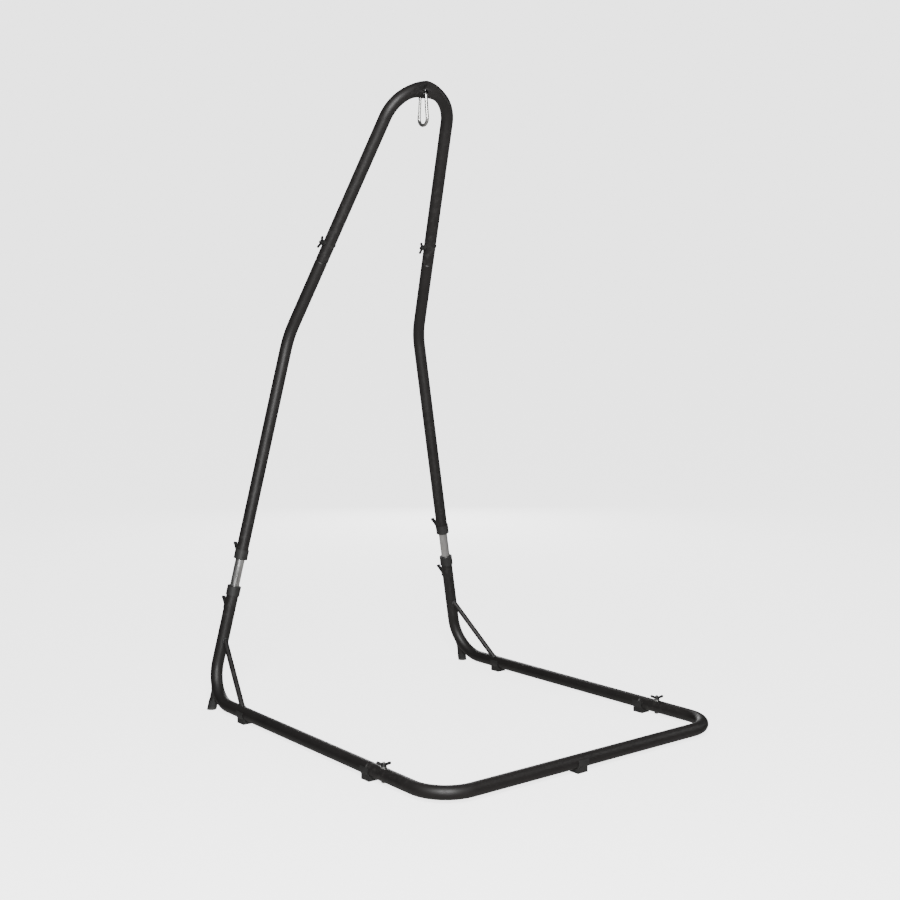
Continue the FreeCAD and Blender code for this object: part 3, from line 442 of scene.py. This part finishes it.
def thread(name, body, start, along, slot_name):
    """Helical ridge of a metric thread round the free end of a bolt."""
    across = along.orthogonal().normalized()
    side_way = along.cross(across)
    total = int(THREAD_LENGTH / PITCH * THREAD_STEPS)
    root = BOLT_RADIUS - ROOT_DEPTH
    tool = bmesh.new()
    rows = []
    for place in range(total + 1):
        angle = 2 * math.pi * place / THREAD_STEPS
        out = across * math.cos(angle) + side_way * math.sin(angle)
        centre = start + along * (PITCH * place / THREAD_STEPS)
        fade = min(1.0, place / THREAD_STEPS, (total - place) / THREAD_STEPS)
        crest = BOLT_RADIUS + CREST_HEIGHT * fade
        rows.append([
            tool.verts.new(centre + out * root - along * PITCH * ROOT_HALF_WIDTH),
            tool.verts.new(centre + out * crest - along * PITCH * CREST_HALF_WIDTH),
            tool.verts.new(centre + out * crest + along * PITCH * CREST_HALF_WIDTH),
            tool.verts.new(centre + out * root + along * PITCH * ROOT_HALF_WIDTH),
        ])
    for here, there in zip(rows, rows[1:]):
        ring_faces(tool, here, there)
    tool.faces.new(rows[0])
    tool.faces.new(list(reversed(rows[-1])))
    finish_piece(name, tool, FINISHES[slot_name], body)


def bolt_tip(node, along):
    """Farthest point of a bolt along its axis, on the axis itself."""
    points = [vertex.co for vertex in NODES[node].data.vertices]
    reach = max(point.dot(along) for point in points)
    return middle([point for point in points if point.dot(along) > reach - TIP_DEPTH])


for side in SIDES:
    for node, joint, body, slot_name in THREADS:
        axis = Vector(JOINTS[f"{joint}_{side}"]["axis"]).normalized()
        start = bolt_tip(f"{node}_{side}", axis) - axis * THREAD_SETBACK
        thread(f"{node}_thread_{side}", body, start, axis, slot_name)


# ---------------------------------------------------------------- hook rivet
RIVET_SIDES = 20
RIVET_SINK = 0.0001
# height above the pin's end and radius there, from the pin out to the dome's top
RIVET_PROFILE = ((0, 0.0027), (0.0003, 0.0026), (0.0007, 0.0019), (0.0009, 0.0009))


def rivet_head(tool, end, sign, centre):
    """A dome on one end of the gate's pin, which lies along X."""
    rings = []
    for lift, width in RIVET_PROFILE:
        ring = []
        for step in range(RIVET_SIDES):
            angle = 2 * math.pi * step / RIVET_SIDES
            ring.append(tool.verts.new((end + sign * (lift - RIVET_SINK),
                                        centre.y + width * math.cos(angle),
                                        centre.z + width * math.sin(angle))))
        rings.append(ring)
    for here, there in zip(rings, rings[1:]):
        ring_faces(tool, here, there)
    tool.faces.new(rings[-1])
    tool.faces.new(rings[0])


def rivet_heads():
    """Domed heads on both ends of the hook's gate pin."""
    low, high = (Vector(corner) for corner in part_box("hook_pin"))
    centre = (low + high) / 2
    tool = bmesh.new()
    rivet_head(tool, low.x, -1, centre)
    rivet_head(tool, high.x, 1, centre)
    finish_piece("hook_rivet_heads", tool, HARDWARE, "hook")


rivet_heads()


# ---------------------------------------------------------------- floor, light and camera
# brightness of the backdrop, and the part of the floor's that the softboxes give
PAPER_WHITE = 3.0
SOFTBOX_SHARE = 0.12
FLOOR_HALF_WIDTH = 60
DOME_RADIUS = 58
# name, place, target, width and height in metres, power in watts
SOFTBOXES = (
    ("key_softbox", (-3.0, -3.4, 3.2), (0, -0.2, 0.7), 1.5, 1.5, 390),
    ("fill_softbox", (-3.4, -4.4, 1.6), (0, 0, 1.2), 1.2, 1.2, 165),
    ("side_softbox", (4.0, -2.4, 2.2), (0, 0, 0.9), 1.0, 2.2, 30),
    ("rear_softbox", (3.0, 3.9, 1.5), (0, 0, 0.9), 1.4, 1.8, 60),
)
CAMERA_PLACE = (-3.0327, -3.7712, 1.4114)
CAMERA_YAW = 0.6772
CAMERA_PITCH = 0.1093
CAMERA_ROLL = -0.0015
CAMERA_LENS = 59.24
CAMERA_SHIFT = (-0.00235, 0.01037)


def staged(name, tool, material):
    """A mesh that belongs to the studio, out of sight of glossy reflections."""
    mesh = bpy.data.meshes.new(name)
    tool.to_mesh(mesh)
    tool.free()
    mesh.materials.append(material)
    thing = bpy.data.objects.new(name, mesh)
    thing.visible_glossy = False
    thing.visible_diffuse = False
    bpy.context.scene.collection.objects.link(thing)
    return thing


def floor():
    """Wide pale floor, faintly mottled, and bright enough to look like white paper."""
    material, tree, shader = new_material("studio_floor")
    colour = tint(tree, noise(tree, coordinates(tree), 3, 3), [(0.3, (0.87, 0.87, 0.87)),
                                                               (0.7, (0.89, 0.89, 0.89))])
    tree.links.new(colour, shader.inputs["Base Color"])
    shader.inputs["Roughness"].default_value = 0.9
    shader.inputs["Specular IOR Level"].default_value = 0.0
    shader.inputs["Emission Color"].default_value = (1, 1, 1, 1)
    shader.inputs["Emission Strength"].default_value = PAPER_WHITE - SOFTBOX_SHARE
    tool = bmesh.new()
    bmesh.ops.create_grid(tool, x_segments=1, y_segments=1, size=FLOOR_HALF_WIDTH)
    staged("studio_floor", tool, material)


def backdrop():
    """White dome that only the camera sees, so that the horizon doesn't show."""
    material, tree, shader = new_material("studio_backdrop")
    shader.inputs["Base Color"].default_value = (0, 0, 0, 1)
    shader.inputs["Specular IOR Level"].default_value = 0.0
    shader.inputs["Emission Color"].default_value = (1, 1, 1, 1)
    shader.inputs["Emission Strength"].default_value = PAPER_WHITE
    tool = bmesh.new()
    bmesh.ops.create_uvsphere(tool, u_segments=48, v_segments=24, radius=DOME_RADIUS)
    dome = staged("studio_backdrop", tool, material)
    dome.visible_shadow = False


def soft_light(name, place, target, width, height, power):
    """A rectangular softbox aimed at a point."""
    data = bpy.data.lights.new(name, "AREA")
    data.shape = "RECTANGLE"
    data.size, data.size_y = width, height
    data.energy = power
    lamp = bpy.data.objects.new(name, data)
    lamp.location = place
    aim = Vector(target) - Vector(place)
    lamp.rotation_euler = aim.to_track_quat("-Z", "Y").to_euler()
    lamp.visible_camera = False
    bpy.context.scene.collection.objects.link(lamp)


def surroundings():
    """Studio around the stand: light from the floor, dim above, dark in between."""
    world = bpy.data.worlds.new("studio")
    world.use_nodes = True
    tree = world.node_tree
    source = tree.nodes.new("ShaderNodeTexCoord")
    split = tree.nodes.new("ShaderNodeSeparateXYZ")
    tree.links.new(source.outputs["Generated"], split.inputs["Vector"])
    height = spread(tree, split.outputs["Z"], 0, 1, -1, 1)
    shade = tint(tree, height, [(0.0, (0.62, 0.60, 0.59)), (0.34, (0.42, 0.41, 0.40)),
                                (0.45, (0.05, 0.05, 0.05)), (0.56, (0.05, 0.05, 0.05)),
                                (0.72, (0.13, 0.13, 0.13)), (1.0, (0.20, 0.20, 0.20))])
    background = tree.nodes["Background"]
    tree.links.new(shade, background.inputs["Color"])
    background.inputs["Strength"].default_value = 1.0
    bpy.context.scene.world = world


def studio():
    """The surroundings and softboxes: two in front, one at the right, one behind."""
    surroundings()
    for name, place, target, width, height, power in SOFTBOXES:
        soft_light(name, place, target, width, height, power)


def camera():
    """A camera at standing height, in front of the stand's left corner."""
    data = bpy.data.cameras.new("camera")
    data.lens = CAMERA_LENS
    data.shift_x, data.shift_y = CAMERA_SHIFT
    thing = bpy.data.objects.new("camera", data)
    flat = math.cos(CAMERA_PITCH)
    look = Vector((math.sin(CAMERA_YAW) * flat, math.cos(CAMERA_YAW) * flat,
                   -math.sin(CAMERA_PITCH)))
    right = Vector((math.cos(CAMERA_YAW), -math.sin(CAMERA_YAW), 0))
    up = right.cross(look)
    turn = Matrix((right, up, -look)).transposed() @ Matrix.Rotation(CAMERA_ROLL, 3, "Z")
    thing.matrix_world = Matrix.Translation(CAMERA_PLACE) @ turn.to_4x4()
    bpy.context.scene.collection.objects.link(thing)
    bpy.context.scene.camera = thing


floor()
backdrop()
studio()
camera()
